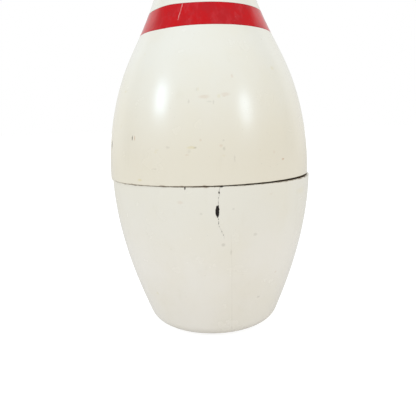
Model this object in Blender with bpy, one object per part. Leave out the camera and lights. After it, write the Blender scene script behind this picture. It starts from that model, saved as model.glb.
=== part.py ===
"""A hollow bowling pin that parts at the belly into two halves.

Each half is turned from five laminated maple boards and coated in hard cream plastic. A fibre ring glued
into the mouth of the lower half stands up into the upper half, which rests on it and lifts straight off. A
felt pad under the foot meets the table.

Metres, +Z up. The origin is on the pin's axis, on the face that the felt pad stands on. The boards' glue
planes are square to X.
"""

import math

import bmesh
import bpy
import numpy as np
from mathutils import Vector

# --- Driving dimensions -----------------------------------------------------------------------------------

INCH = 0.0254

# A regulation pin's drawing: inches above its foot, and the diameter there in inches.
REGULATION = (
    (3.375, 4.510),
    (4.5, 4.766),
    (5.875, 4.563),
    (7.25, 3.703),
    (9.375, 1.965),
    (10.0, 1.797),
    (10.875, 1.870),
    (11.75, 2.094),
    (12.625, 2.406),
)
REGULATION_HEIGHT = 15.0
HEAD_DIAMETER = 2.547  # where the dome starts, in inches
FOOT_CUT = 0.0240  # how much shorter this pin is, at its foot

FOOT_HEIGHT = 0.0080  # where the wall leaves the rounded foot
FOOT_RADIUS = 0.0410
FOOT_SLOPE = 0.39  # radius gained per height there

# Height and radius where this pin departs from the drawing: a little fuller low down, and slimmer at the
# shoulder.
LOW_WALL = (0.0300, 0.0490)
SHOULDER = (0.1800, 0.0370)

SEAM_HEIGHT = 0.0930

COATING = 0.0012
FIT_GAP = 0.0003  # between pieces that are glued or rest on each other

PAD_RADIUS = 0.0240
PAD_THICKNESS = 0.0020
PAD_PROUD = 0.0008  # how far the felt stands below the coated foot

BOARD_PITCH = 0.0240
BOARD_SHIFT = -0.0025  # the middle board's centre, from the axis
BOARD_NAMES = ("left_outer", "left_inner", "middle", "right_inner", "right_outer")

WALL = 0.0115  # coating and wood together, measured level
FLOOR_HEIGHT = 0.0140
FLOOR_CORNER = 0.0080
BORE_TOP_HEIGHT = 0.1960  # where the cavity starts to dome over

RING_RADIUS = 0.0507
RING_THICKNESS = 0.0030
RING_ABOVE_SEAM = 0.0100
RING_BELOW_SEAM = 0.0117
RING_CHAMFER = 0.0008
RING_CLEARANCE = 0.0019  # round the ring, in the upper half

SEAM_GAP = 0.00072  # mean gap between the two rims
LOWER_RIM_SLOPE = (math.radians(-0.06), 0.0)  # rims out of square: slopes towards +X and +Y
UPPER_RIM_SLOPE = (math.radians(0.42), math.radians(0.27))
UPPER_HALF_OFFSET = -0.0010  # how far the loose upper half sits to -X

STRIPE_THICKNESS = 0.0004
SHOULDER_STRIPE = (0.1756, 0.1877)  # lowest and highest edge
NECK_STRIPE = (0.2070, 0.2180)

# --- Fineness of the meshes -------------------------------------------------------------------------------

SEGMENTS = 48
FOOT_STEPS = 4
LOWER_STEPS = 7
UPPER_STEPS = 16
STRIPE_STEPS = 2
CAVITY_STEPS = 6
CORNER_STEPS = 3
DOME_STEPS = 5

# --- Outlines, as lists of (radius, height) ---------------------------------------------------------------


def spline_slopes(heights, radii, first_slope, last_slope):
    """Slopes at the points of the smoothest cubic curve through them, with both end slopes given."""
    steps = np.diff(heights)
    rises = np.diff(radii) / steps
    matrix = np.eye(len(heights))
    wanted = np.empty(len(heights))
    wanted[0], wanted[-1] = first_slope, last_slope
    for i in range(1, len(heights) - 1):
        matrix[i, i - 1 : i + 2] = steps[i], 2 * (steps[i - 1] + steps[i]), steps[i - 1]
        wanted[i] = 3 * (steps[i] * rises[i - 1] + steps[i - 1] * rises[i])
    return np.linalg.solve(matrix, wanted)


def pin_outline():
    """Heights and outer radii of the coated pin, from above the foot to where the head's dome starts."""
    drawing = [*REGULATION, (REGULATION_HEIGHT - HEAD_DIAMETER / 2, HEAD_DIAMETER)]
    stations = [(FOOT_HEIGHT, FOOT_RADIUS), LOW_WALL, SHOULDER]
    stations += [(height * INCH - FOOT_CUT, diameter * INCH / 2) for height, diameter in drawing]
    return np.array(sorted(stations)).T


PROFILE_HEIGHTS, PROFILE_RADII = pin_outline()
PROFILE_SLOPES = spline_slopes(PROFILE_HEIGHTS, PROFILE_RADII, FOOT_SLOPE, 0.0)


def outer_radius(height):
    """Radius of the coated pin at a height between the foot and the widest part of the head."""
    i = min(max(np.searchsorted(PROFILE_HEIGHTS, height) - 1, 0), len(PROFILE_HEIGHTS) - 2)
    step = PROFILE_HEIGHTS[i + 1] - PROFILE_HEIGHTS[i]
    t = (height - PROFILE_HEIGHTS[i]) / step
    return float(
        (2 * t**3 - 3 * t**2 + 1) * PROFILE_RADII[i]
        + (t**3 - 2 * t**2 + t) * step * PROFILE_SLOPES[i]
        + (3 * t**2 - 2 * t**3) * PROFILE_RADII[i + 1]
        + (t**3 - t**2) * step * PROFILE_SLOPES[i + 1]
    )


def wall_line(low, high, steps, inset=0.0):
    """The pin's outline from one height to another, moved inwards square to the surface."""
    line = []
    for height in np.linspace(low, high, steps + 1):
        nudge = 1e-5
        slope = (outer_radius(height + nudge) - outer_radius(height - nudge)) / (2 * nudge)
        normal = Vector((1.0, -slope)).normalized()
        line.append((outer_radius(height) - inset * normal.x, height - inset * normal.y))
    return line


def arc(centre, radius, first_angle, last_angle, steps):
    """Points on an arc, its angles in radians up from +radius."""
    return [
        (centre[0] + radius * math.cos(angle), centre[1] + radius * math.sin(angle))
        for angle in np.linspace(first_angle, last_angle, steps + 1)
    ]


def foot_line(inset=0.0):
    """The rounded foot: from the flat under it, round the corner, to where the wall starts."""
    wall_radius, wall_height = PROFILE_RADII[0], PROFILE_HEIGHTS[0]
    lean = math.atan(FOOT_SLOPE)
    corner = (wall_height - PAD_PROUD) / (1 - math.sin(lean))
    centre = (wall_radius - corner * math.cos(lean), PAD_PROUD + corner)
    return arc(centre, corner - inset, -math.pi / 2, -lean, FOOT_STEPS)


def head_line(inset=0.0):
    """The head's dome, from its widest part to the axis."""
    centre = (0.0, PROFILE_HEIGHTS[-1])
    line = arc(centre, PROFILE_RADII[-1] - inset, 0.0, math.pi / 2, DOME_STEPS)
    return line[:-1] + [(0.0, line[-1][1])]


def lower_line(inset):
    """The lower half's whole outside, from the flat of the foot to the rim."""
    wall = wall_line(PROFILE_HEIGHTS[0], SEAM_HEIGHT, LOWER_STEPS, inset)
    wall[-1] = (wall[-1][0], SEAM_HEIGHT)
    return foot_line(inset)[:-1] + wall


def upper_line(inset):
    """The upper half's whole outside, from the rim to the top of the head."""
    rim = SEAM_HEIGHT + SEAM_GAP
    wall = wall_line(rim, PROFILE_HEIGHTS[-1], UPPER_STEPS, inset)
    wall[0] = (wall[0][0], rim)
    return wall[:-1] + head_line(inset)


def cavity_line(low, high):
    return [(outer_radius(height) - WALL, height) for height in np.linspace(low, high, CAVITY_STEPS + 1)]


# --- Solids -----------------------------------------------------------------------------------------------


def finish(name, colour, roughness):
    material = bpy.data.materials.new(name)
    material.use_nodes = True
    shader = material.node_tree.nodes["Principled BSDF"]
    shader.inputs["Base Color"].default_value = (*colour, 1.0)
    shader.inputs["Roughness"].default_value = roughness
    return material


def tilt_rim(bm, rim_height, slope):
    """Slopes the rim: a point on it rises by the slope's tangents times its x and y."""
    for vert in bm.verts:
        if abs(vert.co.z - rim_height) < 1e-6:
            vert.co.z += vert.co.x * math.tan(slope[0]) + vert.co.y * math.tan(slope[1])


def turned_mesh(name, outline, rim_height=None, rim_slope=(0.0, 0.0)):
    """The solid made by turning a closed outline about Z. A stretch of it along the axis makes no surface."""
    bm = bmesh.new()
    verts = [bm.verts.new((radius, 0.0, height)) for radius, height in outline]
    pairs = zip(verts, verts[1:] + verts[:1])
    edges = [bm.edges.new(pair) for pair in pairs if pair[0].co.x > 0 or pair[1].co.x > 0]
    bmesh.ops.spin(
        bm,
        geom=verts + edges,
        cent=(0, 0, 0),
        axis=(0, 0, 1),
        angle=2 * math.pi,
        steps=SEGMENTS,
        use_merge=True,
    )
    bmesh.ops.remove_doubles(bm, verts=bm.verts, dist=1e-6)
    if rim_height is not None:
        tilt_rim(bm, rim_height, rim_slope)
    bmesh.ops.recalc_face_normals(bm, faces=bm.faces)
    mesh = bpy.data.meshes.new(name)
    bm.to_mesh(mesh)
    bm.free()
    mesh.shade_smooth()
    mesh.set_sharp_from_angle(angle=math.radians(35))
    return mesh


def add_piece(name, mesh, material, half):
    piece = bpy.data.objects.new(name, mesh)
    if not mesh.materials:
        mesh.materials.append(material)
    bpy.context.scene.collection.objects.link(piece)
    piece.parent = half
    return piece


def add_half(name, location):
    """An empty on the axis that carries one half. Its pieces are modelled in the whole pin's frame."""
    half = bpy.data.objects.new(name, None)
    half.location = location
    bpy.context.scene.collection.objects.link(half)
    return half


def add_slab(name, x_centre, half):
    """The space of one board, as a cutter that spans the whole pin in Y and Z."""
    bm = bmesh.new()
    bmesh.ops.create_cube(bm, size=1.0)
    bmesh.ops.scale(bm, verts=bm.verts, vec=(BOARD_PITCH - FIT_GAP, 0.2, 0.8))
    bmesh.ops.translate(bm, verts=bm.verts, vec=(x_centre, 0, 0.3))
    mesh = bpy.data.meshes.new(name)
    bm.to_mesh(mesh)
    bm.free()
    slab = bpy.data.objects.new(name, mesh)
    bpy.context.scene.collection.objects.link(slab)
    slab.parent = half
    slab.hide_render = True
    slab.display_type = "WIRE"
    return slab


def add_boards(prefix, turned, material, half):
    """Five boards side by side along X, each the part of the turned wood that its slab holds."""
    for i, board_name in enumerate(BOARD_NAMES):
        x_centre = BOARD_SHIFT + (i - len(BOARD_NAMES) // 2) * BOARD_PITCH
        board = add_piece(f"{prefix}_board_{board_name}", turned.copy(), material, half)
        cut = board.modifiers.new("board", "BOOLEAN")
        cut.operation = "INTERSECT"
        cut.object = add_slab(f"{prefix}_slab_{board_name}", x_centre, half)


# --- Lower half -------------------------------------------------------------------------------------------


def add_felt_pad(material, half):
    outline = [(0.0, 0.0), (PAD_RADIUS, 0.0), (PAD_RADIUS, PAD_THICKNESS), (0.0, PAD_THICKNESS)]
    add_piece("felt_pad", turned_mesh("felt_pad", outline), material, half)


def add_lower_coating(material, half):
    """A skin from the edge of the pad's recess, round the foot, to the rim."""
    inside = lower_line(COATING)
    recess = PAD_RADIUS + FIT_GAP
    outline = [(recess, PAD_PROUD)] + lower_line(0.0) + inside[::-1] + [(recess, inside[0][1])]
    mesh = turned_mesh("lower_coating", outline, SEAM_HEIGHT, LOWER_RIM_SLOPE)
    add_piece("lower_coating", mesh, material, half)


def add_lower_wood(material, half):
    """A bowl with a step under the rim that the ring stands on."""
    outside = lower_line(COATING + FIT_GAP)
    rebate_radius = RING_RADIUS + FIT_GAP
    step_height = SEAM_HEIGHT - RING_BELOW_SEAM - FIT_GAP
    corner_top = FLOOR_HEIGHT + FLOOR_CORNER
    cavity = cavity_line(step_height, corner_top)
    corner_centre = (cavity[-1][0] - FLOOR_CORNER, corner_top)
    corner = arc(corner_centre, FLOOR_CORNER, 0.0, -math.pi / 2, CORNER_STEPS)
    outline = (
        [(0.0, outside[0][1])]
        + outside
        + [(rebate_radius, SEAM_HEIGHT), (rebate_radius, step_height)]
        + cavity
        + corner[1:]
        + [(0.0, FLOOR_HEIGHT)]
    )
    turned = turned_mesh("lower_wood", outline, SEAM_HEIGHT, LOWER_RIM_SLOPE)
    add_boards("lower", turned, material, half)


def add_locating_ring(material, half):
    inner = RING_RADIUS - RING_THICKNESS
    bottom = SEAM_HEIGHT - RING_BELOW_SEAM
    top = SEAM_HEIGHT + RING_ABOVE_SEAM
    outline = [
        (inner, bottom),
        (RING_RADIUS, bottom),
        (RING_RADIUS, top - RING_CHAMFER),
        (RING_RADIUS - RING_CHAMFER, top),
        (inner, top),
    ]
    add_piece("locating_ring", turned_mesh("locating_ring", outline), material, half)


# --- Upper half -------------------------------------------------------------------------------------------


def groove_line(stripe, depth):
    return wall_line(*stripe, STRIPE_STEPS, depth)


def add_upper_coating(material, half):
    """A skin over the upper half, with a shallow groove for each stripe."""
    outside = upper_line(0.0)
    for low, high in (SHOULDER_STRIPE, NECK_STRIPE):
        groove = (low - FIT_GAP, high + FIT_GAP)
        edges = groove_line(groove, 0.0)
        floor = groove_line(groove, STRIPE_THICKNESS + FIT_GAP)
        below = [point for point in outside if point[1] < groove[0]]
        above = [point for point in outside if point[1] > groove[1]]
        outside = below + [edges[0]] + floor + [edges[-1]] + above
    outline = outside + upper_line(COATING)[::-1]
    mesh = turned_mesh("upper_coating", outline, SEAM_HEIGHT + SEAM_GAP, UPPER_RIM_SLOPE)
    add_piece("upper_coating", mesh, material, half)


def add_upper_wood(material, half):
    """Solid in the head and neck, hollow below, with a step over the mouth that rests on the ring."""
    rim = SEAM_HEIGHT + SEAM_GAP
    bore_radius = RING_RADIUS + RING_CLEARANCE
    step_height = SEAM_HEIGHT + RING_ABOVE_SEAM + FIT_GAP
    cavity = cavity_line(BORE_TOP_HEIGHT, step_height)
    dome = arc((0.0, BORE_TOP_HEIGHT), cavity[0][0], math.pi / 2, 0.0, DOME_STEPS)
    outline = (
        [(0.0, dome[0][1])]
        + dome[1:]
        + cavity[1:]
        + [(bore_radius, step_height), (bore_radius, rim)]
        + upper_line(COATING + FIT_GAP)
    )
    turned = turned_mesh("upper_wood", outline, rim, UPPER_RIM_SLOPE)
    add_boards("upper", turned, material, half)


def add_stripe(name, stripe, material, half):
    outside = groove_line(stripe, 0.0)
    inside = groove_line(stripe, STRIPE_THICKNESS)
    add_piece(name, turned_mesh(name, outside + inside[::-1]), material, half)


# --- The pin ----------------------------------------------------------------------------------------------


def clear_scene():
    for item in list(bpy.data.objects):
        bpy.data.objects.remove(item)


def main():
    clear_scene()
    upper_cream = finish("upper_coating", (0.76, 0.73, 0.62), 0.25)
    lower_cream = finish("lower_coating", (0.73, 0.71, 0.63), 0.28)
    maple = finish("maple", (0.58, 0.40, 0.23), 0.55)
    fibre = finish("fibre", (0.035, 0.025, 0.020), 0.60)
    red = finish("stripe", (0.52, 0.016, 0.023), 0.30)
    felt = finish("felt", (0.030, 0.065, 0.040), 0.95)

    lower_half = add_half("lower_half", (0, 0, 0))
    add_felt_pad(felt, lower_half)
    add_lower_wood(maple, lower_half)
    add_lower_coating(lower_cream, lower_half)
    add_locating_ring(fibre, lower_half)

    upper_half = add_half("upper_half", (UPPER_HALF_OFFSET, 0, 0))
    add_upper_wood(maple, upper_half)
    add_upper_coating(upper_cream, upper_half)
    add_stripe("shoulder_stripe", SHOULDER_STRIPE, red, upper_half)
    add_stripe("neck_stripe", NECK_STRIPE, red, upper_half)


main()
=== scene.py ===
"""The looks of the two-part bowling pin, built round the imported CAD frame.

Every turned surface is remade here finer than in the CAD, on the same outline, with the knocks, crack and
chip that the coating has. Materials are procedural. Metres, +Z up. MM turns the small sizes, which are given
in millimetres, into metres. A place on the coating is given as millimetres round the belly from the front
(-Y) towards +X, and millimetres up.
"""

import math
import random

import bpy
import numpy as np
from mathutils import Matrix, Vector, noise


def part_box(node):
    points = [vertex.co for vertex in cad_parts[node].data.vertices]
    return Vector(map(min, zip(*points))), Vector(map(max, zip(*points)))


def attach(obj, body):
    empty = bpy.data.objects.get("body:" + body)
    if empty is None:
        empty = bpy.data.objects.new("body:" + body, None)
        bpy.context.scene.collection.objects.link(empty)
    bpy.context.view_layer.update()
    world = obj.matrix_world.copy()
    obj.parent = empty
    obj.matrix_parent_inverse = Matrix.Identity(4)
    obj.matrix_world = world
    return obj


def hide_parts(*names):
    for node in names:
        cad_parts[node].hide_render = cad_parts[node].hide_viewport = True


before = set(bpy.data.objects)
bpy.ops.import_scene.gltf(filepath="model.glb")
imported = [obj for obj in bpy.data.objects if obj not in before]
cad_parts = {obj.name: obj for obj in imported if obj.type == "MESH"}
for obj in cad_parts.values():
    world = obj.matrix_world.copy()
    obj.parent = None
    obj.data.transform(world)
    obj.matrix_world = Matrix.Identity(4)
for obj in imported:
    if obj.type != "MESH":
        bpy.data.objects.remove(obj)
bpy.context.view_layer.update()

MM = 0.001

# --- The CAD's driving dimensions, repeated -------------------------------------------------------

INCH = 0.0254

# A regulation pin's drawing: inches above its foot, and the diameter there in inches.
REGULATION = (
    (3.375, 4.510),
    (4.5, 4.766),
    (5.875, 4.563),
    (7.25, 3.703),
    (9.375, 1.965),
    (10.0, 1.797),
    (10.875, 1.870),
    (11.75, 2.094),
    (12.625, 2.406),
)
REGULATION_HEIGHT = 15.0
HEAD_DIAMETER = 2.547  # where the dome starts, in inches
FOOT_CUT = 0.0240  # how much shorter this pin is, at its foot

FOOT_HEIGHT = 0.0080  # where the wall leaves the rounded foot
FOOT_RADIUS = 0.0410
FOOT_SLOPE = 0.39  # radius gained per height there

# Height and radius where this pin departs from the drawing: fuller low down, and slimmer at the shoulder.
LOW_WALL = (0.0300, 0.0490)
SHOULDER = (0.1800, 0.0370)
SEAM_HEIGHT = 0.0930
SEAM_GAP = 0.72 * MM
COATING = 1.2 * MM
FIT_GAP = 0.3 * MM
WOOD_INSET = COATING + FIT_GAP
PAD_PROUD = 0.8 * MM
BOARD_PITCH = 24 * MM
BOARD_SHIFT = -2.5 * MM
WALL = 11.5 * MM
FLOOR_HEIGHT = 14 * MM
FLOOR_CORNER = 8 * MM
BORE_TOP_HEIGHT = 0.196
RING_CLEARANCE = 1.9 * MM
RING_THICKNESS = 3 * MM
BELLY_RADIUS = 60.5 * MM
LOWER_RIM_SLOPE = (math.radians(-0.06), 0.0)
UPPER_RIM_SLOPE = (math.radians(0.42), math.radians(0.27))
STRIPE_THICKNESS = 0.4 * MM
SHOULDER_STRIPE = (0.1756, 0.1877)
NECK_STRIPE = (0.2070, 0.2180)

# Read from the frame.
PAD_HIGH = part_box("felt_pad")[1]
RING_LOW, RING_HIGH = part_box("locating_ring")
UPPER_LOW, UPPER_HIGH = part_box("upper_coating")
UPPER_AXIS_X = (UPPER_LOW.x + UPPER_HIGH.x) / 2
PAD_RADIUS = PAD_HIGH.x
RING_RADIUS = RING_HIGH.x

# --- The knocks, in millimetres round the belly and up --------------------------------------------

CHIP_LINE = ((3, 83), (2.5, 77))
CHIP_HALF_WIDTH = 0.3
CHIP_BULGE = ((2.5, 80), (1, 3))  # centre, and half size round and up
CRACK = ((4, 93), (3, 84), (3, 73), (6, 66))
RIM_KNOCKS = (((3.5, 90), (0.3, 0.6)), ((5, 93), (1, 0.4)), ((-14, 92.5), (0.3, 1)))
KNOCK_MARGIN = 1  # how far past a knock the mesh is kept fine

CHIP_DEPTH = 0.75 * MM
RIM_KNOCK_DEPTH = 0.6 * MM
CRACK_DEPTH = 0.12 * MM
RIM_WEAR_DEPTH = 0.08 * MM

# --- How fine the meshes are ----------------------------------------------------------------------

FINE_PITCH = 0.15 * MM  # round the belly, over the knocks
FINE_ROW = 0.2 * MM  # up the coating, over the knocks and at the rims
COARSE_TURN = math.radians(1.6)  # round the rest of the lower coating
WOOD_ROW = 4 * MM
UPPER_COAT_COLUMNS = 260
BAND_COLUMNS = 720
BOARD_COLUMNS = 120
RING_COLUMNS = 300
FELT_COLUMNS = 240

# --- Outlines, as lists of (radius, height) -------------------------------------------------------


def spline_slopes(heights, radii, first_slope, last_slope):
    """Slopes at the points of the smoothest cubic curve through them, with both end slopes given."""
    steps = np.diff(heights)
    rises = np.diff(radii) / steps
    matrix = np.eye(len(heights))
    wanted = np.empty(len(heights))
    wanted[0], wanted[-1] = first_slope, last_slope
    for i in range(1, len(heights) - 1):
        matrix[i, i - 1 : i + 2] = steps[i], 2 * (steps[i - 1] + steps[i]), steps[i - 1]
        wanted[i] = 3 * (steps[i] * rises[i - 1] + steps[i - 1] * rises[i])
    return np.linalg.solve(matrix, wanted)


def pin_outline():
    """Heights and outer radii of the coated pin, from above the foot to where the head's dome starts."""
    drawing = [*REGULATION, (REGULATION_HEIGHT - HEAD_DIAMETER / 2, HEAD_DIAMETER)]
    stations = [(FOOT_HEIGHT, FOOT_RADIUS), LOW_WALL, SHOULDER]
    stations += [(height * INCH - FOOT_CUT, diameter * INCH / 2) for height, diameter in drawing]
    return np.array(sorted(stations)).T


PROFILE_HEIGHTS, PROFILE_RADII = pin_outline()
PROFILE_SLOPES = spline_slopes(PROFILE_HEIGHTS, PROFILE_RADII, FOOT_SLOPE, 0.0)


def outer_radius(height):
    """Radius of the coated pin at a height between the foot and the widest part of the head."""
    i = min(max(np.searchsorted(PROFILE_HEIGHTS, height) - 1, 0), len(PROFILE_HEIGHTS) - 2)
    step = PROFILE_HEIGHTS[i + 1] - PROFILE_HEIGHTS[i]
    t = (height - PROFILE_HEIGHTS[i]) / step
    return float(
        (2 * t**3 - 3 * t**2 + 1) * PROFILE_RADII[i]
        + (t**3 - 2 * t**2 + t) * step * PROFILE_SLOPES[i]
        + (3 * t**2 - 2 * t**3) * PROFILE_RADII[i + 1]
        + (t**3 - t**2) * step * PROFILE_SLOPES[i + 1]
    )


def wall_line(heights, inset=0.0):
    """The pin's outline at these heights, moved inwards square to the surface."""
    line = []
    for height in heights:
        nudge = 1e-5
        slope = (outer_radius(height + nudge) - outer_radius(height - nudge)) / (2 * nudge)
        normal = Vector((1.0, -slope)).normalized()
        line.append((outer_radius(height) - inset * normal.x, height - inset * normal.y))
    return line


def arc(centre, radius, first_angle, last_angle, steps):
    """Points on an arc, its angles in radians up from +radius."""
    return [
        (centre[0] + radius * math.cos(angle), centre[1] + radius * math.sin(angle))
        for angle in np.linspace(first_angle, last_angle, steps + 1)
    ]


def foot_line(inset, steps):
    """The rounded foot: from the flat under it, round the corner, to where the wall starts."""
    wall_radius, wall_height = PROFILE_RADII[0], PROFILE_HEIGHTS[0]
    lean = math.atan(FOOT_SLOPE)
    corner = (wall_height - PAD_PROUD) / (1 - math.sin(lean))
    centre = (wall_radius - corner * math.cos(lean), PAD_PROUD + corner)
    return arc(centre, corner - inset, -math.pi / 2, -lean, steps)


def head_line(inset, steps):
    """The head's dome, from its widest part to the axis."""
    centre = (0.0, PROFILE_HEIGHTS[-1])
    line = arc(centre, PROFILE_RADII[-1] - inset, 0.0, math.pi / 2, steps)
    return line[:-1] + [(0.0, line[-1][1])]


def spaced(low, high, pitch):
    """Even steps from low to high, both included, as near to the pitch as fits."""
    return np.linspace(low, high, max(1, round((high - low) / pitch)) + 1)


def rounded_rim(outer, inner, height, radius, away):
    """A rim between two radii, both edges rounded. The piece is above it if away is +1, and below if -1."""
    steps = 4
    quarter = math.pi / 2
    first = arc((outer - radius, height + away * radius), radius, 0, -away * quarter, steps)
    second = arc((inner + radius, height + away * radius), radius, -away * quarter, -away * math.pi, steps)
    return first + second


# --- Meshes ---------------------------------------------------------------------------------------


def even_azimuths(count):
    return np.arange(count) * (2 * math.pi / count)


def knocked_arcs():
    """The stretches round the belly that hold knocks: the lone notch, then the crack and those beside it."""
    notch = RIM_KNOCKS[-1][0][0]
    crack_places = [place[0] for place in CHIP_LINE + CRACK] + [CHIP_BULGE[0][0] - CHIP_BULGE[1][0]]
    first, last = min(crack_places), max(crack_places)
    return (notch - KNOCK_MARGIN, notch + KNOCK_MARGIN), (first - KNOCK_MARGIN, last + KNOCK_MARGIN)


def fine_azimuths():
    """Azimuths all round, close together over the knocks in the coating."""
    azimuths = []
    start = -math.pi
    for low, high in knocked_arcs():
        low, high = low * MM / BELLY_RADIUS, high * MM / BELLY_RADIUS
        azimuths += list(spaced(start, low, COARSE_TURN)[:-1])
        azimuths += list(spaced(low, high, FINE_PITCH / BELLY_RADIUS)[:-1])
        start = high
    azimuths += list(spaced(start, math.pi, COARSE_TURN)[:-1])
    return np.array(azimuths)


def turned_points(outline, azimuths):
    """Points of a turned surface: one row for each point of the outline, one column for each azimuth."""
    radii, heights = np.array(outline).T
    points = np.empty((len(radii), len(azimuths), 3))
    points[..., 0] = np.outer(radii, np.sin(azimuths))
    points[..., 1] = -np.outer(radii, np.cos(azimuths))
    points[..., 2] = heights[:, None]
    return points


def slope_rim(points, rim_height, slope, reach):
    """Slopes a rim out of square. The shift fades out over reach."""
    near = np.clip(1 - np.abs(points[..., 2] - rim_height) / reach, 0, 1)
    points[..., 2] += near * (points[..., 0] * math.tan(slope[0]) + points[..., 1] * math.tan(slope[1]))


def grid_mesh(name, points, attributes=None):
    """A mesh of quads over rows and columns of points, closed round both ways, with a value at each point
    for every attribute. A row on the axis becomes one point."""
    rows, columns = points.shape[:2]
    index = np.arange(rows * columns).reshape(rows, columns)
    for row in range(rows):
        if np.hypot(points[row, :, 0], points[row, :, 1]).max() < 1e-9:
            index[row] = index[row, 0]
    kept, flat = np.unique(index, return_inverse=True)
    flat = flat.reshape(rows, columns)
    below, above = flat, np.roll(flat, -1, axis=0)
    below_next, above_next = np.roll(below, -1, axis=1), np.roll(above, -1, axis=1)
    quads = np.stack([below, below_next, above_next, above], axis=-1).reshape(-1, 4)
    faces = [list(dict.fromkeys(quad)) for quad in quads.tolist()]
    mesh = bpy.data.meshes.new(name)
    mesh.from_pydata(points.reshape(-1, 3)[kept].tolist(), [], [face for face in faces if len(face) > 2])
    for key, values in (attributes or {}).items():
        layer = mesh.attributes.new(key, "FLOAT", "POINT")
        layer.data.foreach_set("value", values.reshape(-1)[kept].astype(np.float32))
    mesh.shade_smooth()
    mesh.set_sharp_from_angle(angle=math.radians(40))
    return mesh


def add_piece(name, mesh, material, body, stands_for, x_offset=0.0):
    """Adds a piece to the scene, on its body, in place of its CAD node. Both halves are made on the Z axis,
    and the upper one's pieces are moved by its offset."""
    piece = bpy.data.objects.new(name, mesh)
    mesh.materials.append(material)
    mesh.transform(Matrix.Translation((x_offset, 0, 0)))
    bpy.context.scene.collection.objects.link(piece)
    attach(piece, body)
    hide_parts(stands_for)
    return piece


# --- The knocks in the coating --------------------------------------------------------------------


def smooth_step(low, high, value):
    """A smooth rise from 0 at low to 1 at high, or a fall when low is the greater."""
    t = np.clip((value - low) / (high - low), 0, 1)
    return t * t * (3 - 2 * t)


def surface_spots(points):
    """Each point's place on the coating: millimetres round the belly and up."""
    azimuths = np.arctan2(points[..., 0], -points[..., 1])
    return np.stack([azimuths * BELLY_RADIUS / MM, points[..., 2] / MM], axis=-1)


def shifted_round(spots, shift):
    """The spots, each moved round the belly by its own shift."""
    return spots + np.stack([shift, np.zeros_like(shift)], axis=-1)


def segment_distance(spots, first, second):
    """Distance of each spot from a straight line between two points, all in millimetres on the belly."""
    first, second = np.array(first), np.array(second)
    along = second - first
    t = np.clip(((spots - first) @ along) / (along @ along), 0, 1)
    return np.linalg.norm(spots - first - t[..., None] * along, axis=-1)


def line_distance(spots, corners):
    """Distance of each spot from a line through these corners."""
    return np.min([segment_distance(spots, a, b) for a, b in zip(corners, corners[1:])], axis=0)


def rough(spots, size, seed):
    """A smooth random value from -1 to 1 at each spot, with features of this size in millimetres."""
    flat = spots.reshape(-1, 2) / size
    values = [noise.noise((float(x), float(y), float(seed))) for x, y in flat]
    return np.array(values).reshape(spots.shape[:-1])


def knock_depths(spots):
    """How deep the coating is knocked at each spot, in metres, and how bare it is, from 0 to 1."""
    # The chip, with a ragged edge.
    ragged = 0.10 * rough(spots, 0.45, 3) + 0.22 * rough(spots, 1.3, 4)
    bulge = min(CHIP_BULGE[1]) * (1 - np.linalg.norm((spots - CHIP_BULGE[0]) / CHIP_BULGE[1], axis=-1))
    edge = np.maximum(CHIP_HALF_WIDTH - line_distance(spots, CHIP_LINE), bulge) + ragged
    depth = CHIP_DEPTH * smooth_step(-0.04, 0.14, edge)
    bare = smooth_step(-0.06, 0.06, edge)
    # The knocks at the rim.
    for centre, half in RIM_KNOCKS:
        reach = np.linalg.norm((spots - centre) / half, axis=-1) - 0.6 * ragged / min(half)
        depth = np.maximum(depth, RIM_KNOCK_DEPTH * smooth_step(1.25, 0.75, reach))
        bare = np.maximum(bare, smooth_step(1.15, 0.85, reach))
    # The crack: a line that wanders and breaks off, with pits along it.
    distance = line_distance(shifted_round(spots, 0.16 * rough(spots, 1.4, 8)), CRACK)
    patchy = 0.55 + 0.45 * rough(spots, 1.9, 9)
    cut = patchy * smooth_step(0.22, 0.05, distance)
    pitted = 0.75 * smooth_step(0.05, 0.35, rough(spots, 0.9, 12)) * smooth_step(0.40, 0.15, distance)
    depth = np.maximum(depth, CRACK_DEPTH * np.maximum(cut, pitted))
    bare = np.maximum(bare, np.maximum(0.34 * cut, pitted))
    return depth, bare


def wear_rim(points, rim_height, seed):
    """Wears small flats into the edge of a rim, all round, and gives how worn each point is."""
    near = smooth_step(0.9, 0.1, np.abs(points[..., 2] - rim_height) / MM)
    worn = np.zeros(near.shape)
    close = near.max(axis=1) > 0
    spots = surface_spots(points[close]) * (1.0, 0.3)
    patches = 0.6 * rough(spots, 2.4, seed) + 0.4 * rough(spots, 0.8, seed + 1)
    worn[close] = near[close] * smooth_step(0.12, 0.50, patches)
    points[..., :2] *= (1 - RIM_WEAR_DEPTH * worn / BELLY_RADIUS)[..., None]
    return worn


# --- Node helpers ---------------------------------------------------------------------------------


def new_material(name):
    material = bpy.data.materials.new(name)
    material.use_nodes = True
    tree = material.node_tree
    return material, tree, tree.nodes["Principled BSDF"]


def set_inputs(tree, node, inputs):
    """Sets a node's inputs, each to a value or to a socket that is linked."""
    for key, value in inputs.items():
        if isinstance(value, bpy.types.NodeSocket):
            tree.links.new(value, node.inputs[key])
        else:
            node.inputs[key].default_value = value


def add_node(tree, kind, inputs=None, **settings):
    """A node with its settings and inputs set."""
    node = tree.nodes.new("ShaderNode" + kind)
    for key, value in settings.items():
        setattr(node, key, value)
    set_inputs(tree, node, inputs or {})
    return node


def colour(red, green, blue):
    """A colour given as it is seen, from 0 to 255, as the linear one that a shader takes."""
    shares = (red / 255, green / 255, blue / 255)
    linear = [c / 12.92 if c <= 0.04045 else ((c + 0.055) / 1.055) ** 2.4 for c in shares]
    return (*linear, 1.0)


def mix(tree, factor, first, second, blend="MIX"):
    node = add_node(tree, "Mix", {0: factor, 6: first, 7: second}, data_type="RGBA", blend_type=blend)
    return node.outputs[2]


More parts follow.
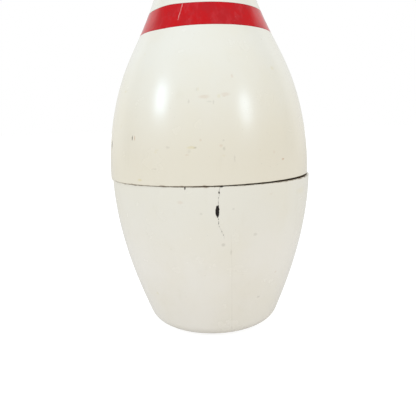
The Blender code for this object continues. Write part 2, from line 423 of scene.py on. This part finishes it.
def ramp(tree, value, low, high, out_low=0.0, out_high=1.0):
    """A value mapped smoothly from one range to another."""
    inputs = {"Value": value, "From Min": low, "From Max": high, "To Min": out_low, "To Max": out_high}
    return add_node(tree, "MapRange", inputs, interpolation_type="SMOOTHSTEP").outputs["Result"]


def math_node(tree, operation, first, second=0.0):
    return add_node(tree, "Math", {0: first, 1: second}, operation=operation).outputs[0]


def object_coordinates(tree):
    return add_node(tree, "TexCoord").outputs["Object"]


def stretched(tree, coordinates, scale):
    return add_node(tree, "Mapping", {"Vector": coordinates, "Scale": scale}).outputs["Vector"]


def noise_value(tree, coordinates, scale, detail=3.0, roughness=0.55):
    inputs = {"Vector": coordinates, "Scale": scale, "Detail": detail, "Roughness": roughness}
    return add_node(tree, "TexNoise", inputs).outputs["Fac"]


def attribute(tree, name):
    return add_node(tree, "Attribute", attribute_name=name).outputs["Fac"]


def bump(tree, height, distance, normal=None):
    """A bumped normal, over another one if it is given."""
    inputs = {"Height": height, "Distance": distance, "Strength": 1.0}
    if normal is not None:
        inputs["Normal"] = normal
    return add_node(tree, "Bump", inputs).outputs["Normal"]


# --- Materials ------------------------------------------------------------------------------------

# Stains on the coating: where, half size round and up, how strong, and which colour. The few that stand out
# are listed, and faint ones are scattered over the rest.
GREY, RUST, YELLOW = colour(118, 108, 90), colour(196, 150, 110), colour(214, 196, 120)
ALL_ROUND = (-190, 190)  # millimetres round the belly
UPPER_MARKS = (
    ((-46, 118), (0.5, 1.4), 0.80, GREY),
    ((-44, 118), (0.4, 1.4), 0.60, RUST),
    ((-74, 114), (1.4, 2.5), 0.85, GREY),
    ((43, 105), (1.0, 0.6), 0.55, RUST),
    ((-9, 113), (2.5, 0.8), 0.30, YELLOW),
    ((-7, 113), (0.9, 0.5), 0.28, GREY),
    ((-2, 138), (3.0, 1.0), 0.18, RUST),
    ((10, 139), (2.5, 1.0), 0.15, RUST),
    ((-40, 96), (1.6, 0.6), 0.40, YELLOW),
    ((13, 107), (0.5, 2.0), 0.13, GREY),
)
LOWER_MARKS = (
    ((-17, 85), (1.8, 1.0), 0.14, RUST),
    ((-6, 79), (0.7, 0.7), 0.13, GREY),
    ((11, 81), (0.8, 0.7), 0.13, GREY),
    ((10, 57), (0.6, 1.8), 0.14, GREY),
    ((60, 86), (6.0, 2.0), 0.10, YELLOW),
)


def scattered_stains(seed, count, arcs, heights):
    """Faint stains between two places round the belly and two heights, the same each time."""
    draw = random.Random(seed)
    stains = []
    for _ in range(count):
        place = (draw.uniform(*arcs), draw.uniform(*heights))
        half = (draw.uniform(0.4, 1.6), draw.uniform(0.4, 1.2))
        stains.append((place, half, draw.uniform(0.08, 0.20), draw.choice((GREY, RUST, YELLOW))))
    return tuple(stains)


def upper_stains():
    """The upper half's stains, with more of them near its belly and under the shoulder stripe."""
    return (
        UPPER_MARKS
        + scattered_stains(5, 24, ALL_ROUND, (98, 172))
        + scattered_stains(7, 12, (-35, 38), (108, 117))
        + scattered_stains(8, 7, (-12, 14), (134, 142))
    )


def lower_stains():
    return LOWER_MARKS + scattered_stains(6, 16, ALL_ROUND, (10, 90))


def stain_place(place, x_offset):
    """Where on the coating a stain is, as a point in space."""
    azimuth = place[0] * MM / BELLY_RADIUS
    height = place[1] * MM
    radius = outer_radius(height)
    return Vector((radius * math.sin(azimuth) + x_offset, -radius * math.cos(azimuth), height)), azimuth


def add_stain(tree, coordinates, base, stain, x_offset):
    """Lays one soft-edged stain over a colour."""
    place, half, strength, tint = stain
    centre, azimuth = stain_place(place, x_offset)
    inputs = {
        "Vector": coordinates,
        "Location": centre,
        "Rotation": (0.0, 0.0, azimuth),
        "Scale": (half[0] * MM, 3 * MM, half[1] * MM),
    }
    local = add_node(tree, "Mapping", inputs, vector_type="TEXTURE").outputs["Vector"]
    reach = add_node(tree, "VectorMath", {0: local}, operation="LENGTH").outputs["Value"]
    return mix(tree, ramp(tree, reach, 1.3, 0.35, 0.0, strength), base, tint)


def weathered(tree, coordinates, base):
    """A colour with clouding, faint upright streaks and specks laid over it."""
    cloud = noise_value(tree, coordinates, 28.0, 4.0)
    base = mix(tree, ramp(tree, cloud, 0.35, 0.75, 0.0, 0.30), base, colour(232, 222, 196))
    streaks = noise_value(tree, stretched(tree, coordinates, (1.0, 1.0, 0.35)), 160.0, 5.0, 0.6)
    base = mix(tree, ramp(tree, streaks, 0.55, 0.80, 0.0, 0.10), base, colour(206, 196, 166))
    specks = noise_value(tree, coordinates, 900.0, 1.0)
    return mix(tree, ramp(tree, specks, 0.76, 0.84, 0.0, 0.22), base, GREY)


def jittered(tree, coordinates):
    """Coordinates moved a little at random, which roughens the edges of the stains."""
    noise_inputs = {"Vector": coordinates, "Scale": 1400.0, "Detail": 2.0}
    ragged = add_node(tree, "TexNoise", noise_inputs).outputs["Color"]
    shift = add_node(tree, "VectorMath", {0: ragged, 1: (0.5, 0.5, 0.5)}, operation="SUBTRACT").outputs[0]
    small = add_node(tree, "VectorMath", {0: shift, "Scale": 0.9 * MM}, operation="SCALE").outputs[0]
    return add_node(tree, "VectorMath", {0: coordinates, 1: small}, operation="ADD").outputs[0]


def rim_grime(tree, base, patches):
    """A colour with patchy grime over it along the rim, and dirt in the flats worn into the rim's edge."""
    from_rim = math_node(tree, "MULTIPLY", attribute(tree, "from_rim"), 1 / MM)
    grime = ramp(tree, from_rim, 0.40, 0.0, 0.0, 1.0)
    grime = math_node(tree, "MULTIPLY", grime, ramp(tree, patches, 0.38, 0.62, 0.35, 0.95))
    base = mix(tree, grime, base, colour(118, 92, 58))
    worn = math_node(tree, "MULTIPLY", attribute(tree, "worn"), 0.75)
    return mix(tree, worn, base, colour(120, 98, 70))


def glue_mark(tree, coordinates, height, glue_line, patches):
    """How strongly a glue plane shows through the lower part of the coating, from 0 to 1."""
    across = add_node(tree, "SeparateXYZ", {0: coordinates}).outputs["X"]
    off = math_node(tree, "ABSOLUTE", math_node(tree, "SUBTRACT", across, glue_line))
    line = ramp(tree, off, 0.45 * MM, 0.05 * MM)
    line = math_node(tree, "MULTIPLY", line, ramp(tree, height, 0.070, 0.064))
    return math_node(tree, "MULTIPLY", line, ramp(tree, patches, 0.35, 0.60, 0.35, 1.0))


def coating_material(name, high, low, heights, stains, x_offset, glue_line=None):
    """Hard glossy coating. Its colour drifts with height, under stains, grime at the rim and dark wood in the
    knocks, and its surface has fine scratches and a slight orange peel."""
    material, tree, shader = new_material(name)
    coordinates = object_coordinates(tree)
    height = add_node(tree, "SeparateXYZ", {0: coordinates}).outputs["Z"]
    base = mix(tree, ramp(tree, height, *heights), low, high)
    base = weathered(tree, coordinates, base)
    stain_coordinates = jittered(tree, coordinates)
    for stain in stains:
        base = add_stain(tree, stain_coordinates, base, stain, x_offset)
    patches = noise_value(tree, coordinates, 260.0, 4.0)
    base = rim_grime(tree, base, patches)
    bare = attribute(tree, "bare")
    base = mix(tree, bare, base, colour(38, 30, 25))

    scratches = noise_value(tree, stretched(tree, coordinates, (1.0, 1.0, 0.06)), 2600.0, 2.0)
    peel = noise_value(tree, coordinates, 240.0, 1.0)
    normal = bump(tree, peel, 0.008 * MM)
    normal = bump(tree, scratches, 0.002 * MM, normal)
    if glue_line is not None:
        mark = glue_mark(tree, coordinates, height, glue_line, patches)
        base = mix(tree, math_node(tree, "MULTIPLY", mark, 0.07), base, colour(150, 138, 112))
        normal = bump(tree, mark, -0.02 * MM, normal)

    smear = noise_value(tree, coordinates, 70.0, 4.0)
    gloss = ramp(tree, smear, 0.30, 0.75, 0.23, 0.28)
    roughness = math_node(tree, "ADD", gloss, math_node(tree, "MULTIPLY", bare, 0.55))
    set_inputs(tree, shader, {"Base Color": base, "Roughness": roughness, "Normal": normal, "IOR": 1.5})
    return material


def stripe_material():
    """Red band, a little faded in patches, with a scratch that goes through to the cream below."""
    material, tree, shader = new_material("stripe_red")
    coordinates = object_coordinates(tree)
    base = colour(198, 14, 22)
    patches = noise_value(tree, coordinates, 95.0, 5.0, 0.6)
    base = mix(tree, ramp(tree, patches, 0.42, 0.62, 0.0, 0.6), base, colour(182, 24, 32))
    brushed = noise_value(tree, stretched(tree, coordinates, (1.0, 1.0, 0.25)), 260.0, 4.0)
    base = mix(tree, ramp(tree, brushed, 0.48, 0.66, 0.0, 0.45), base, colour(202, 50, 56))
    specks = noise_value(tree, coordinates, 1100.0, 2.0)
    base = mix(tree, ramp(tree, specks, 0.68, 0.80, 0.0, 0.30), base, colour(222, 130, 132))
    base = mix(tree, attribute(tree, "scratch"), base, colour(240, 206, 198))
    base = mix(tree, attribute(tree, "edge"), base, colour(150, 26, 34))
    peel = noise_value(tree, coordinates, 420.0, 2.0)
    gloss = ramp(tree, patches, 0.3, 0.75, 0.14, 0.24)
    normal = bump(tree, peel, 0.020 * MM)
    set_inputs(tree, shader, {"Base Color": base, "Roughness": gloss, "Normal": normal, "IOR": 1.5})
    return material


def maple_material():
    """Maple with the grain along the pin: streaks on the turned walls, growth rings across the rims."""
    material, tree, shader = new_material("maple_wood")
    board = attribute(tree, "board")
    # Each board's grain is taken from another place in the pattern.
    apart = math_node(tree, "MULTIPLY", board, 0.173)
    place = add_node(tree, "CombineXYZ", {"X": apart, "Y": 0.30, "Z": board}).outputs[0]
    coordinates = object_coordinates(tree)
    moved = add_node(tree, "VectorMath", {0: coordinates, 1: place}, operation="ADD").outputs[0]
    along = stretched(tree, moved, (1.0, 1.0, 0.05))
    wave_inputs = {"Vector": along, "Scale": 95.0, "Distortion": 5.0, "Detail": 3.0, "Detail Scale": 0.35}
    rings = add_node(tree, "TexWave", wave_inputs, wave_type="RINGS", rings_direction="Z").outputs["Fac"]
    pores = noise_value(tree, along, 2200.0, 3.0, 0.7)
    drift = noise_value(tree, along, 45.0, 3.0)
    base = mix(tree, rings, colour(212, 176, 128), colour(190, 148, 100))
    base = mix(tree, ramp(tree, drift, 0.3, 0.75, 0.0, 0.5), base, colour(222, 190, 146))
    base = mix(tree, ramp(tree, pores, 0.55, 0.80, 0.0, 0.45), base, colour(140, 98, 60))
    # Darker towards the rim: over its last 2.5 mm, up to 0.8 of the way to dark brown.
    darkening = ramp(tree, math_node(tree, "MULTIPLY", attribute(tree, "from_rim"), 1 / MM), 2.5, 0.0, 0.0, 0.8)
    base = mix(tree, darkening, base, colour(62, 44, 30))
    height = math_node(tree, "ADD", math_node(tree, "MULTIPLY", rings, 0.35), pores)
    normal = bump(tree, height, 0.10 * MM)
    roughness = ramp(tree, pores, 0.3, 0.8, 0.50, 0.72)
    set_inputs(tree, shader, {"Base Color": base, "Roughness": roughness, "Normal": normal})
    return material


def fibre_material():
    """Dark vulcanised fibre: brown-black, with faint layers round it, and rubbed lighter on the top edge."""
    material, tree, shader = new_material("fibre_dark")
    coordinates = object_coordinates(tree)
    layers = noise_value(tree, stretched(tree, coordinates, (0.25, 0.25, 6.0)), 420.0, 4.0, 0.65)
    mottle = noise_value(tree, coordinates, 220.0, 4.0)
    base = mix(tree, ramp(tree, layers, 0.35, 0.75), colour(30, 24, 22), colour(52, 39, 33))
    base = mix(tree, ramp(tree, mottle, 0.5, 0.8, 0.0, 0.4), base, colour(84, 62, 50))
    base = mix(tree, attribute(tree, "worn"), base, colour(120, 96, 78))
    normal = bump(tree, layers, 0.05 * MM)
    roughness = ramp(tree, mottle, 0.3, 0.75, 0.42, 0.66)
    set_inputs(tree, shader, {"Base Color": base, "Roughness": roughness, "Normal": normal})
    return material


def felt_material():
    """Pressed green felt: short tangled fibres over a soft mottle."""
    material, tree, shader = new_material("felt_green")
    coordinates = object_coordinates(tree)
    tangle = noise_value(tree, coordinates, 2400.0, 6.0, 0.75)
    mottle = noise_value(tree, coordinates, 180.0, 4.0)
    base = mix(tree, ramp(tree, tangle, 0.35, 0.7), colour(34, 60, 44), colour(66, 98, 74))
    base = mix(tree, ramp(tree, mottle, 0.4, 0.75, 0.0, 0.5), base, colour(48, 74, 56))
    normal = bump(tree, tangle, 0.35 * MM)
    set_inputs(tree, shader, {"Base Color": base, "Roughness": 0.95, "Normal": normal})
    set_inputs(tree, shader, {"Sheen Weight": 0.4, "Sheen Roughness": 0.5})
    return material


# --- The coating ----------------------------------------------------------------------------------

RIM_ROUND = 0.16 * MM
RIM_REACH = 12 * MM  # how far from the rim its slope fades out


def rim_distance(points, outer_rows, rim_height):
    """Height of each point over or under the rim, and a metre for a point on the wall's inside."""
    distance = np.abs(points[..., 2] - rim_height)
    distance[outer_rows:] = 1.0
    return distance


def add_lower_coat(material):
    """The skin of the lower half, with its crack, chip and rim knocks."""
    wall_start = PROFILE_HEIGHTS[0]
    knock_start = CRACK[-1][1] * MM
    heights = np.concatenate(
        [
            spaced(wall_start, knock_start, 1.6 * MM)[:-1],
            spaced(knock_start, SEAM_HEIGHT - RIM_ROUND, FINE_ROW)[:-1],
        ]
    )
    recess = PAD_RADIUS + FIT_GAP
    outside = [(recess, PAD_PROUD)] + foot_line(0.0, 18)[:-1] + wall_line(heights)
    outer, inner = outer_radius(SEAM_HEIGHT), outer_radius(SEAM_HEIGHT) - COATING
    rim = rounded_rim(outer, inner, SEAM_HEIGHT, RIM_ROUND, -1)
    inside = wall_line(spaced(wall_start, SEAM_HEIGHT - 0.5 * MM, 3 * MM), COATING)[::-1]
    inside += foot_line(COATING, 10)[-2::-1] + [(recess, PAD_PROUD + COATING)]
    points = turned_points(outside + rim + inside, fine_azimuths())
    outer_rows = len(outside) + len(rim) // 2

    depth, bare = np.zeros(points.shape[:2]), np.zeros(points.shape[:2])
    depth[:outer_rows], bare[:outer_rows] = knock_depths(surface_spots(points[:outer_rows]))
    points[..., :2] *= (1 - depth / BELLY_RADIUS)[..., None]
    worn = wear_rim(points, SEAM_HEIGHT, 21)
    from_rim = rim_distance(points, outer_rows, SEAM_HEIGHT)
    slope_rim(points, SEAM_HEIGHT, LOWER_RIM_SLOPE, RIM_REACH)
    mesh = grid_mesh("lower_coat", points, {"bare": bare, "worn": worn, "from_rim": from_rim})
    add_piece("lower_coat", mesh, material, "lower_half", "lower_coating")


def grooved(heights):
    """Outline of the upper coating with a shallow groove for each stripe."""
    depth = STRIPE_THICKNESS + 0.1 * MM
    clear = 0.2 * MM
    line = wall_line(heights)
    for low, high in (SHOULDER_STRIPE, NECK_STRIPE):
        edges = wall_line([low, high])
        floor = wall_line(spaced(low, high, 1.0 * MM), depth)
        below = [point for point in line if point[1] < low - clear]
        above = [point for point in line if point[1] > high + clear]
        line = below + [edges[0]] + floor + [edges[1]] + above
    return line


OVERLAP_AZIMUTH = math.radians(-36)  # where each band's painted ends overlap
OVERLAP_WIDTH = math.radians(16)


def near_edge(heights, edge):
    """How far each height goes along with a band's edge that moves, from 0 to 1."""
    return smooth_step(3 * MM, 0.4 * MM, np.abs(heights - edge))


def wander_edges(points):
    """Moves the painted bands' edges a little up and down the surface. A band is widest at its overlap."""
    azimuths = np.arctan2(points[..., 0], -points[..., 1])
    heights = points[..., 2].copy()
    overlap = np.exp(-(((azimuths - OVERLAP_AZIMUTH) / OVERLAP_WIDTH) ** 2))
    # In millimetres, for the bands' lower and upper edges.
    low_shift = 0.25 * np.cos(azimuths - math.radians(20)) - 0.35 - 0.30 * overlap
    high_shift = 0.45 * overlap + 0.25 * np.cos(azimuths - math.radians(5))
    moved = heights.copy()
    for low, high in (SHOULDER_STRIPE, NECK_STRIPE):
        moved += low_shift * MM * near_edge(heights, low)
        moved += high_shift * MM * near_edge(heights, high)
    for row in np.nonzero(np.abs(moved - heights).max(axis=1) > 0)[0]:
        grown = [outer_radius(new) - outer_radius(old) for new, old in zip(moved[row], heights[row])]
        points[row, :, 0] += np.array(grown) * np.sin(azimuths[row])
        points[row, :, 1] -= np.array(grown) * np.cos(azimuths[row])
    points[..., 2] = moved


def add_upper_coat(material):
    """The skin of the upper half: belly, shoulder, neck and head."""
    rim_height = SEAM_HEIGHT + SEAM_GAP
    heights = np.concatenate(
        [
            spaced(rim_height + RIM_ROUND, rim_height + 2 * MM, FINE_ROW)[:-1],
            spaced(rim_height + 2 * MM, PROFILE_HEIGHTS[-1], 1.3 * MM)[:-1],
        ]
    )
    outside = grooved(heights) + head_line(0.0, 28)
    outer, inner = outer_radius(rim_height), outer_radius(rim_height) - COATING
    rim = rounded_rim(outer, inner, rim_height, RIM_ROUND, 1)[::-1]
    inside = head_line(COATING, 10)[::-1]
    inside += wall_line(spaced(rim_height + 0.5 * MM, PROFILE_HEIGHTS[-1], 4 * MM), COATING)[-2::-1]
    middle = len(rim) // 2
    outline = rim[middle:] + outside + inside + rim[:middle]
    points = turned_points(outline, even_azimuths(UPPER_COAT_COLUMNS))
    outer_rows = middle + len(outside)
    wander_edges(points[:outer_rows])
    worn = wear_rim(points, rim_height, 34)
    from_rim = rim_distance(points, outer_rows, rim_height)
    slope_rim(points, rim_height, UPPER_RIM_SLOPE, RIM_REACH)
    bare = np.zeros(points.shape[:2])
    mesh = grid_mesh("upper_coat", points, {"bare": bare, "worn": worn, "from_rim": from_rim})
    add_piece("upper_coat", mesh, material, "upper_half", "upper_coating", UPPER_AXIS_X)


# --- The stripes ----------------------------------------------------------------------------------

SCRATCH = ((-22, 188), (-24, 179))  # across the shoulder stripe
SCRATCH_DEPTH = 0.10 * MM
BAND_PLAY = 0.05 * MM  # left free at each edge of the groove
BAND_PROUD = 0.02 * MM
BAND_EASE = 0.12 * MM  # how wide the eased edges are
BAND_DROP = 0.05 * MM  # how far they lie below the coating


def add_band(name, node, span, material, scratch=None):
    """A thin red band in its groove, a hair proud of the coating, with its edges eased."""
    low, high = span[0] + BAND_PLAY, span[1] - BAND_PLAY
    heights = np.concatenate([[low], spaced(low + BAND_EASE, high - BAND_EASE, 0.25 * MM), [high]])
    outside = wall_line(heights, -BAND_PROUD)
    outside[0] = wall_line([low], BAND_DROP)[0]
    outside[-1] = wall_line([high], BAND_DROP)[0]
    inside = wall_line(spaced(low, high, 2 * MM), STRIPE_THICKNESS)
    points = turned_points(outside + inside[::-1], even_azimuths(BAND_COLUMNS))
    wander_edges(points)
    edge, scratched = np.zeros(points.shape[:2]), np.zeros(points.shape[:2])
    edge[:2] = edge[len(outside) - 2 : len(outside)] = 0.5
    if scratch is not None:
        spots = surface_spots(points)
        distance = line_distance(shifted_round(spots, 0.22 * rough(spots, 2.5, 5)), scratch)
        scratched = smooth_step(0.42, 0.08, distance) * (0.52 + 0.48 * rough(spots, 1.6, 6))
        points[..., :2] *= (1 - SCRATCH_DEPTH * scratched / BELLY_RADIUS)[..., None]
    mesh = grid_mesh(name, points, {"edge": edge, "scratch": scratched})
    add_piece(name, mesh, material, "upper_half", node, UPPER_AXIS_X)


# --- Wood, ring and felt --------------------------------------------------------------------------

BOARD_NAMES = ("left_outer", "left_inner", "middle", "right_inner", "right_outer")
GLUE_LINE = 0.12 * MM


def cavity_line(low, high):
    """The bored wall between two heights, from the top down."""
    return [(outer_radius(height) - WALL, height) for height in spaced(low, high, WOOD_ROW)[::-1]]


def lower_wood_outline():
    """The lower half's wood: outside up to the rim, down the ring's rebate and the cavity to its floor."""
    outside = foot_line(WOOD_INSET, 8)[:-1]
    outside += wall_line(spaced(PROFILE_HEIGHTS[0], SEAM_HEIGHT - 1 * MM, WOOD_ROW), WOOD_INSET)
    rebate = RING_RADIUS + FIT_GAP
    step_height = RING_LOW.z - FIT_GAP
    corner_top = FLOOR_HEIGHT + FLOOR_CORNER
    cavity = cavity_line(corner_top, step_height)
    corner = arc((cavity[-1][0] - FLOOR_CORNER, corner_top), FLOOR_CORNER, 0.0, -math.pi / 2, 6)
    edge = outer_radius(SEAM_HEIGHT) - WOOD_INSET
    rim = [(edge, SEAM_HEIGHT), (rebate, SEAM_HEIGHT), (rebate, step_height)]
    return [(0.0, outside[0][1])] + outside + rim + cavity + corner[1:] + [(0.0, FLOOR_HEIGHT)]


def upper_wood_outline():
    """The upper half's wood: down the domed cavity and the ring's bore to the rim, and up the outside."""
    rim_height = SEAM_HEIGHT + SEAM_GAP
    bore = RING_RADIUS + RING_CLEARANCE
    step_height = RING_HIGH.z + FIT_GAP
    cavity = cavity_line(step_height, BORE_TOP_HEIGHT)
    dome = arc((0.0, BORE_TOP_HEIGHT), cavity[0][0], math.pi / 2, 0.0, 10)
    outside = wall_line(spaced(rim_height + 1 * MM, PROFILE_HEIGHTS[-1], WOOD_ROW)[:-1], WOOD_INSET)
    outside += head_line(WOOD_INSET, 12)
    rim = [(bore, step_height), (bore, rim_height), (outer_radius(rim_height) - WOOD_INSET, rim_height)]
    return [(0.0, dome[0][1])] + dome[1:] + cavity[1:] + rim + outside


def board_slab(x_low, x_high):
    """A box that holds one board's share of the wood, well past the pin in depth and height."""
    depths, heights = (-0.1, 0.1), (-0.1, 0.5)
    corners = [(x, y, z) for x in (x_low, x_high) for y in depths for z in heights]
    faces = [(0, 1, 3, 2), (4, 6, 7, 5), (0, 4, 5, 1), (2, 3, 7, 6), (0, 2, 6, 4), (1, 5, 7, 3)]
    mesh = bpy.data.meshes.new("slab")
    mesh.from_pydata(corners, [], faces)
    slab = bpy.data.objects.new("slab", mesh)
    bpy.context.scene.collection.objects.link(slab)
    return slab


def cut_board(turned, slab):
    """The part of the turned wood that lies in the slab, as a mesh of its own."""
    whole = bpy.data.objects.new("whole", turned)
    bpy.context.scene.collection.objects.link(whole)
    cut = whole.modifiers.new("cut", "BOOLEAN")
    cut.operation = "INTERSECT"
    cut.solver = "EXACT"
    cut.object = slab
    bpy.context.view_layer.update()
    mesh = bpy.data.meshes.new_from_object(whole.evaluated_get(bpy.context.evaluated_depsgraph_get()))
    bpy.data.objects.remove(whole)
    bpy.data.objects.remove(slab)
    mesh.shade_smooth()
    mesh.set_sharp_from_angle(angle=math.radians(30))
    return mesh


def add_boards(half, outline, rim_height, rim_slope, x_offset, material):
    """The five boards of one half, cut from its turned wood along the glue planes."""
    points = turned_points(outline, even_azimuths(BOARD_COLUMNS))
    from_rim = np.abs(points[..., 2] - rim_height)
    slope_rim(points, rim_height, rim_slope, RIM_REACH)
    turned = grid_mesh(half + "_wood", points, {"from_rim": from_rim})
    for i, board_name in enumerate(BOARD_NAMES):
        x_low = BOARD_SHIFT + (i - len(BOARD_NAMES) / 2) * BOARD_PITCH + GLUE_LINE / 2
        mesh = cut_board(turned, board_slab(x_low, x_low + BOARD_PITCH - GLUE_LINE))
        board = mesh.attributes.new("board", "FLOAT", "POINT")
        board.data.foreach_set("value", np.full(len(mesh.vertices), i + 1.0, np.float32))
        name = f"{half}_wood_{board_name}"
        node = f"{half}_board_{board_name}"
        add_piece(name, mesh, material, half + "_half", node, x_offset)


def add_ring(material):
    """The locating ring, its standing edges eased and rubbed."""
    inner = RING_RADIUS - RING_THICKNESS
    ease = 0.8 * MM
    small = 0.3 * MM
    quarter = math.pi / 2
    wall_heights = spaced(RING_LOW.z + 1 * MM, RING_HIGH.z - ease, 2 * MM)
    outline = (
        [(inner, RING_LOW.z), (RING_RADIUS, RING_LOW.z)]
        + [(RING_RADIUS, height) for height in wall_heights[:-1]]
        + arc((RING_RADIUS - ease, RING_HIGH.z - ease), ease, 0, quarter, 6)
        + arc((inner + small, RING_HIGH.z - small), small, quarter, 2 * quarter, 4)
        + [(inner, height) for height in wall_heights[::-1]]
    )
    points = turned_points(outline, even_azimuths(RING_COLUMNS))
    spots = surface_spots(points)
    rubbed = smooth_step(RING_HIGH.z - 1.2 * MM, RING_HIGH.z, points[..., 2])
    worn = rubbed * smooth_step(-0.1, 0.5, rough(spots * (1.0, 0.4), 3.0, 44)) * 0.8
    mesh = grid_mesh("fibre_ring", points, {"worn": worn})
    add_piece("fibre_ring", mesh, material, "lower_half", "locating_ring")


def add_felt(material):
    """The felt disc, with a soft, slightly ragged edge."""
    top = PAD_HIGH.z
    edge = 0.5 * MM
    bevel = 0.2 * MM
    outline = (
        [(0.0, 0.0)]
        + [(radius, 0.0) for radius in spaced(2 * MM, PAD_RADIUS - 2 * edge, 1.0 * MM)]
        + arc((PAD_RADIUS - edge, edge), edge, -math.pi / 2, 0, 4)
        + [(PAD_RADIUS, top - bevel), (PAD_RADIUS - bevel, top), (0.0, top)]
    )
    points = turned_points(outline, even_azimuths(FELT_COLUMNS))
    spots = surface_spots(points)
    fuzz = 0.12 * MM * np.abs(rough(spots * (1.0, 1.5), 0.6, 51))
    outermost = smooth_step(PAD_RADIUS - 1.5 * MM, PAD_RADIUS, np.hypot(points[..., 0], points[..., 1]))
    points[..., :2] *= (1 - fuzz * outermost / PAD_RADIUS)[..., None]
    add_piece("felt_disc", grid_mesh("felt_disc", points), material, "lower_half", "felt_pad")


# --- Studio ---------------------------------------------------------------------------------------

CAMERA_PLACE = Vector((-0.00233, -0.300, 0.1258))
CAMERA_PITCH = math.radians(10.32)
CAMERA_ROLL = math.radians(-1.57)
CAMERA_LENS = 41.2  # in millimetres, as is the sensor
CAMERA_SENSOR = 36.0

LIGHT_TARGET = Vector((0, 0, 0.13))
LIGHT_DISTANCE = 1.25
KEY_LIGHT = {
    "azimuth": -59.5,
    "elevation": 27.5,
    "size": (0.30, 0.28),
    "power": 3.5,
    "tint": (0.64, 0.81, 1.0),
}
FILL_LIGHT = {
    "azimuth": 45.5,
    "elevation": 23.7,
    "size": (0.23, 0.23),
    "power": 2.4,
    "tint": (0.70, 0.85, 1.0),
}
STUDIO_LEVELS = (0.99, 0.98)  # from the left, and from the right
REFLECTED_LEVELS = (0.16, 0.80)  # in front, and behind
FLOOR_GLOW = (0.28, 0.78)  # to the pin, and to the camera
FLOOR_HALF = 6.0


def add_camera():
    camera = bpy.data.objects.new("camera", bpy.data.cameras.new("camera"))
    camera.data.sensor_width = CAMERA_SENSOR
    camera.data.lens = CAMERA_LENS
    camera.data.clip_start = 0.01
    turn = Matrix.Rotation(math.pi / 2 - CAMERA_PITCH, 4, "X") @ Matrix.Rotation(CAMERA_ROLL, 4, "Z")
    camera.matrix_world = Matrix.Translation(CAMERA_PLACE) @ turn
    bpy.context.scene.collection.objects.link(camera)
    bpy.context.scene.camera = camera


def add_softbox(name, azimuth, elevation, size, power, tint):
    """A rectangular light that faces the pin. Its azimuth, in degrees, goes from the front towards +X."""
    flat = math.cos(math.radians(elevation))
    azimuth = math.radians(azimuth)
    away = Vector((flat * math.sin(azimuth), -flat * math.cos(azimuth), math.sin(math.radians(elevation))))
    light = bpy.data.lights.new(name, "AREA")
    light.shape = "RECTANGLE"
    light.size, light.size_y = size
    light.energy = power
    light.color = tint
    lamp = bpy.data.objects.new(name, light)
    lamp.location = LIGHT_TARGET + LIGHT_DISTANCE * away
    lamp.rotation_euler = away.to_track_quat("Z", "Y").to_euler()
    bpy.context.scene.collection.objects.link(lamp)


def grey(level):
    return (level, level, level, 1.0)


def add_world():
    """An even white studio for the light that falls on the pin. A reflection shows it dark in front and
    bright behind, and the camera sees it as plain white."""
    world = bpy.data.worlds.new("studio")
    bpy.context.scene.world = world
    world.use_nodes = True
    world.cycles.sampling_method = "NONE"
    tree = world.node_tree
    tree.nodes.clear()
    direction = add_node(tree, "TexCoord").outputs["Generated"]
    parts = add_node(tree, "SeparateXYZ", {0: direction}).outputs
    front, behind = (grey(level) for level in REFLECTED_LEVELS)
    reflected = mix(tree, ramp(tree, parts["Y"], 0.28, 0.55), front, behind)
    left, right = (grey(level) for level in STUDIO_LEVELS)
    even = mix(tree, ramp(tree, parts["X"], -1.0, 1.0), left, right)
    path = add_node(tree, "LightPath").outputs
    light = mix(tree, path["Is Glossy Ray"], even, reflected)
    light = mix(tree, path["Is Camera Ray"], light, grey(1.0))
    background = add_node(tree, "Background", {"Color": light, "Strength": 1.0})
    output = add_node(tree, "OutputWorld")
    tree.links.new(background.outputs[0], output.inputs["Surface"])


def add_floor():
    """A pale light table: white to the camera, and dimmer to the pin, which keeps a faint shadow on it."""
    material, tree, shader = new_material("floor_white")
    material.cycles.emission_sampling = "NONE"
    path = add_node(tree, "LightPath").outputs
    glow = ramp(tree, path["Is Camera Ray"], 0.0, 1.0, *FLOOR_GLOW)
    inputs = {"Base Color": grey(0.40), "Roughness": 0.9, "Specular IOR Level": 0.0}
    inputs |= {"Emission Color": grey(1.0), "Emission Strength": glow}
    set_inputs(tree, shader, inputs)
    half = FLOOR_HALF
    corners = [(-half, -half, 0), (half, -half, 0), (half, half, 0), (-half, half, 0)]
    mesh = bpy.data.meshes.new("floor")
    mesh.from_pydata(corners, [], [(0, 1, 2, 3)])
    mesh.materials.append(material)
    floor = bpy.data.objects.new("floor", mesh)
    bpy.context.scene.collection.objects.link(floor)


# --- The pin --------------------------------------------------------------------------------------


def build():
    """Makes the materials and every piece of the pin."""
    glue_line = BOARD_SHIFT + BOARD_PITCH / 2  # right of the middle board
    upper_cream = coating_material(
        "upper_cream",
        colour(234, 231, 219),
        colour(231, 222, 202),
        (0.10, 0.17),
        upper_stains(),
        UPPER_AXIS_X,
    )
    lower_cream = coating_material(
        "lower_cream",
        colour(233, 227, 212),
        colour(241, 234, 221),
        (0.04, 0.09),
        lower_stains(),
        0.0,
        glue_line,
    )
    red = stripe_material()
    maple = maple_material()
    add_lower_coat(lower_cream)
    add_upper_coat(upper_cream)
    add_band("shoulder_band", "shoulder_stripe", SHOULDER_STRIPE, red, SCRATCH)
    add_band("neck_band", "neck_stripe", NECK_STRIPE, red)
    add_boards("lower", lower_wood_outline(), SEAM_HEIGHT, LOWER_RIM_SLOPE, 0.0, maple)
    add_boards("upper", upper_wood_outline(), SEAM_HEIGHT + SEAM_GAP, UPPER_RIM_SLOPE, UPPER_AXIS_X, maple)
    add_ring(fibre_material())
    add_felt(felt_material())


build()
add_floor()
add_world()
add_softbox("key_light", **KEY_LIGHT)
add_softbox("fill_light", **FILL_LIGHT)
add_camera()
bpy.context.scene.view_settings.view_transform = "Standard"
